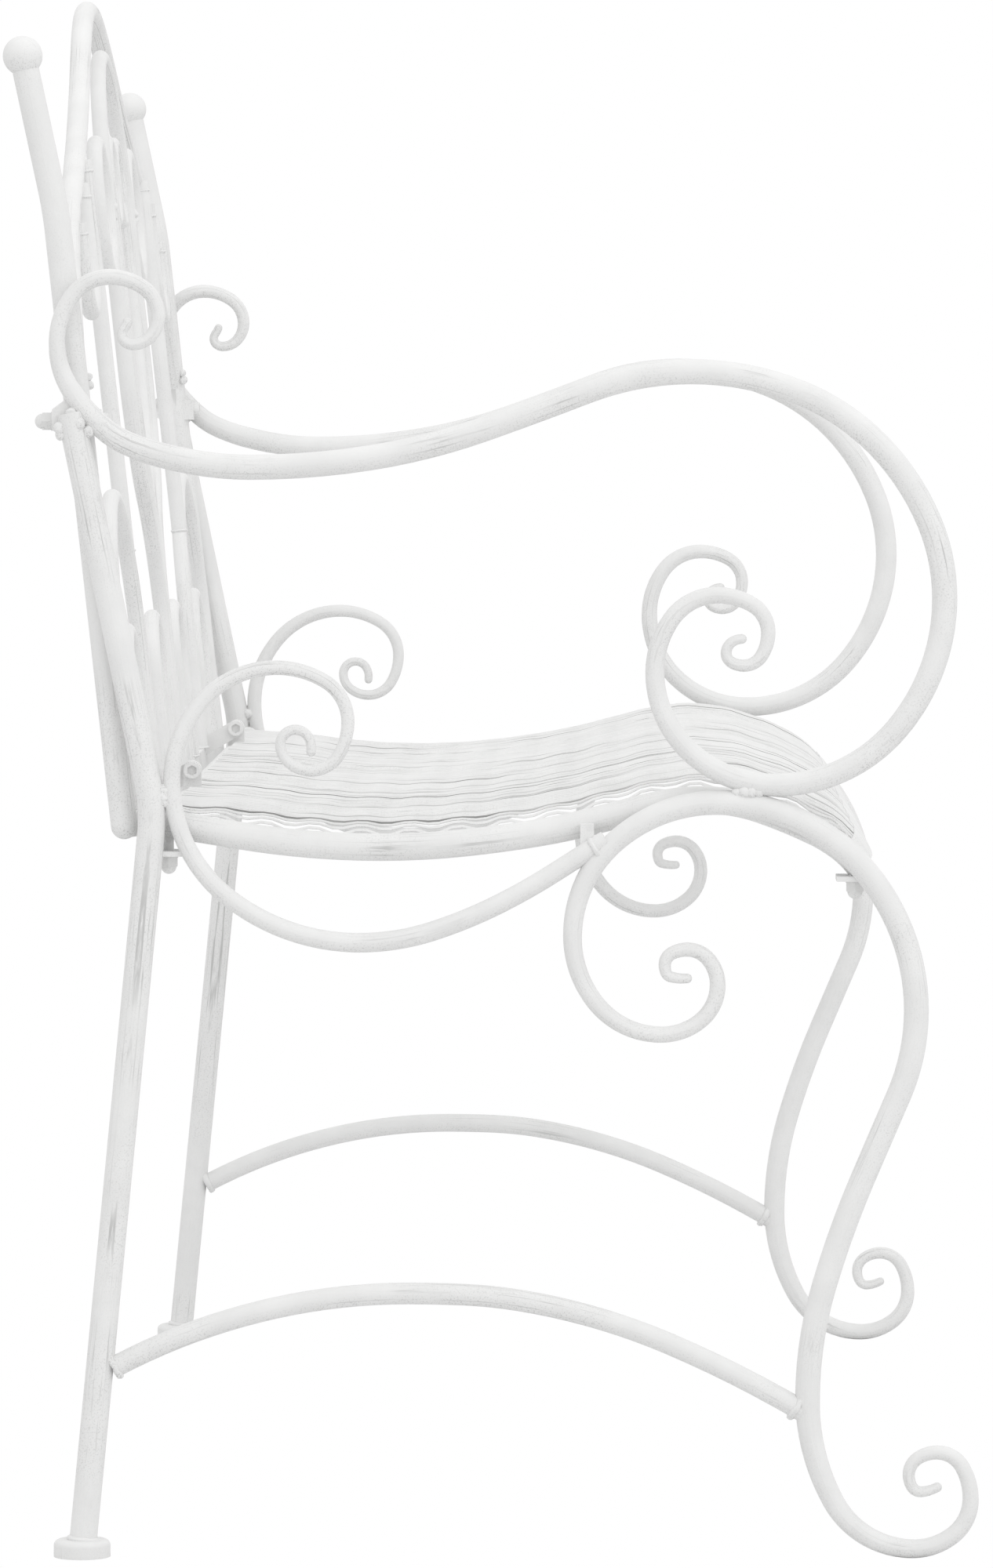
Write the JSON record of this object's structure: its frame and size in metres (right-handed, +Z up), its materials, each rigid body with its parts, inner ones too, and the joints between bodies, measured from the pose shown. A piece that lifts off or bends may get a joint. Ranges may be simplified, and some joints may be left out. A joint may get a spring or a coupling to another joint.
{
  "type": "wrought iron garden bench",
  "caption": "Garden bench of bent and scrolled round iron bar with a reclined openwork back, rolled arms and a curved expanded metal seat, for sitting outdoors",
  "frame": {"origin": "on the floor, under the middle of the bench's box", "axes": "+Z is up, the front of the bench faces -Y, +X runs along the bench to its right end as seen from the front"},
  "size_m": [1.077, 0.566, 0.9245],
  "materials": {
    "frame": "matt off-white paint, worn and dry-brushed with grey",
    "seat_mesh": "matt off-white paint on expanded metal, worn at the strands",
    "fasteners": "off-white paint over bolt heads, washers and domed nuts"
  },
  "bodies": {
    "root": {"arm_bolts": "fasteners", "back_lugs": "frame", "bolt_cap_nuts": "fasteners", "bolt_washers": "fasteners", "bottom_rail": "frame", "centre_hairpin": "frame", "crest_rail": "frame", "left_arm": "frame", "left_arm_lug": "frame", "left_back_post": "frame", "left_back_ring": "frame", "left_back_upright": "frame", "left_ball_finial": "frame", "left_front_leg": "frame", "left_heart_scroll": "frame", "left_lower_arch": "frame", "left_lower_hairpin": "frame", "left_rear_foot": "frame", "left_rear_leg": "frame", "left_seat_brace": "frame", "left_seat_rail": "frame", "left_side_scroll": "frame", "left_side_stretcher": "frame", "left_small_arch": "frame", "left_upper_loop": "frame", "leg_seat_tabs": "frame", "lug_bolts": "fasteners", "lug_nuts": "fasteners", "post_saddles": "frame", "right_arm": "frame", "right_arm_lug": "frame", "right_back_post": "frame", "right_back_ring": "frame", "right_back_upright": "frame", "right_ball_finial": "frame", "right_front_leg": "frame", "right_heart_scroll": "frame", "right_lower_arch": "frame", "right_lower_hairpin": "frame", "right_rear_foot": "frame", "right_rear_leg": "frame", "right_seat_brace": "frame", "right_seat_rail": "frame", "right_side_scroll": "frame", "right_side_stretcher": "frame", "right_small_arch": "frame", "right_upper_loop": "frame", "scroll_tabs": "frame", "seat_front_rail": "frame", "seat_lugs": "frame", "seat_rear_rail": "frame", "seat_sheet": "seat_mesh", "seat_studs": "fasteners", "stud_cap_nuts": "fasteners", "stud_washers": "fasteners"}
  },
  "joints": []
}
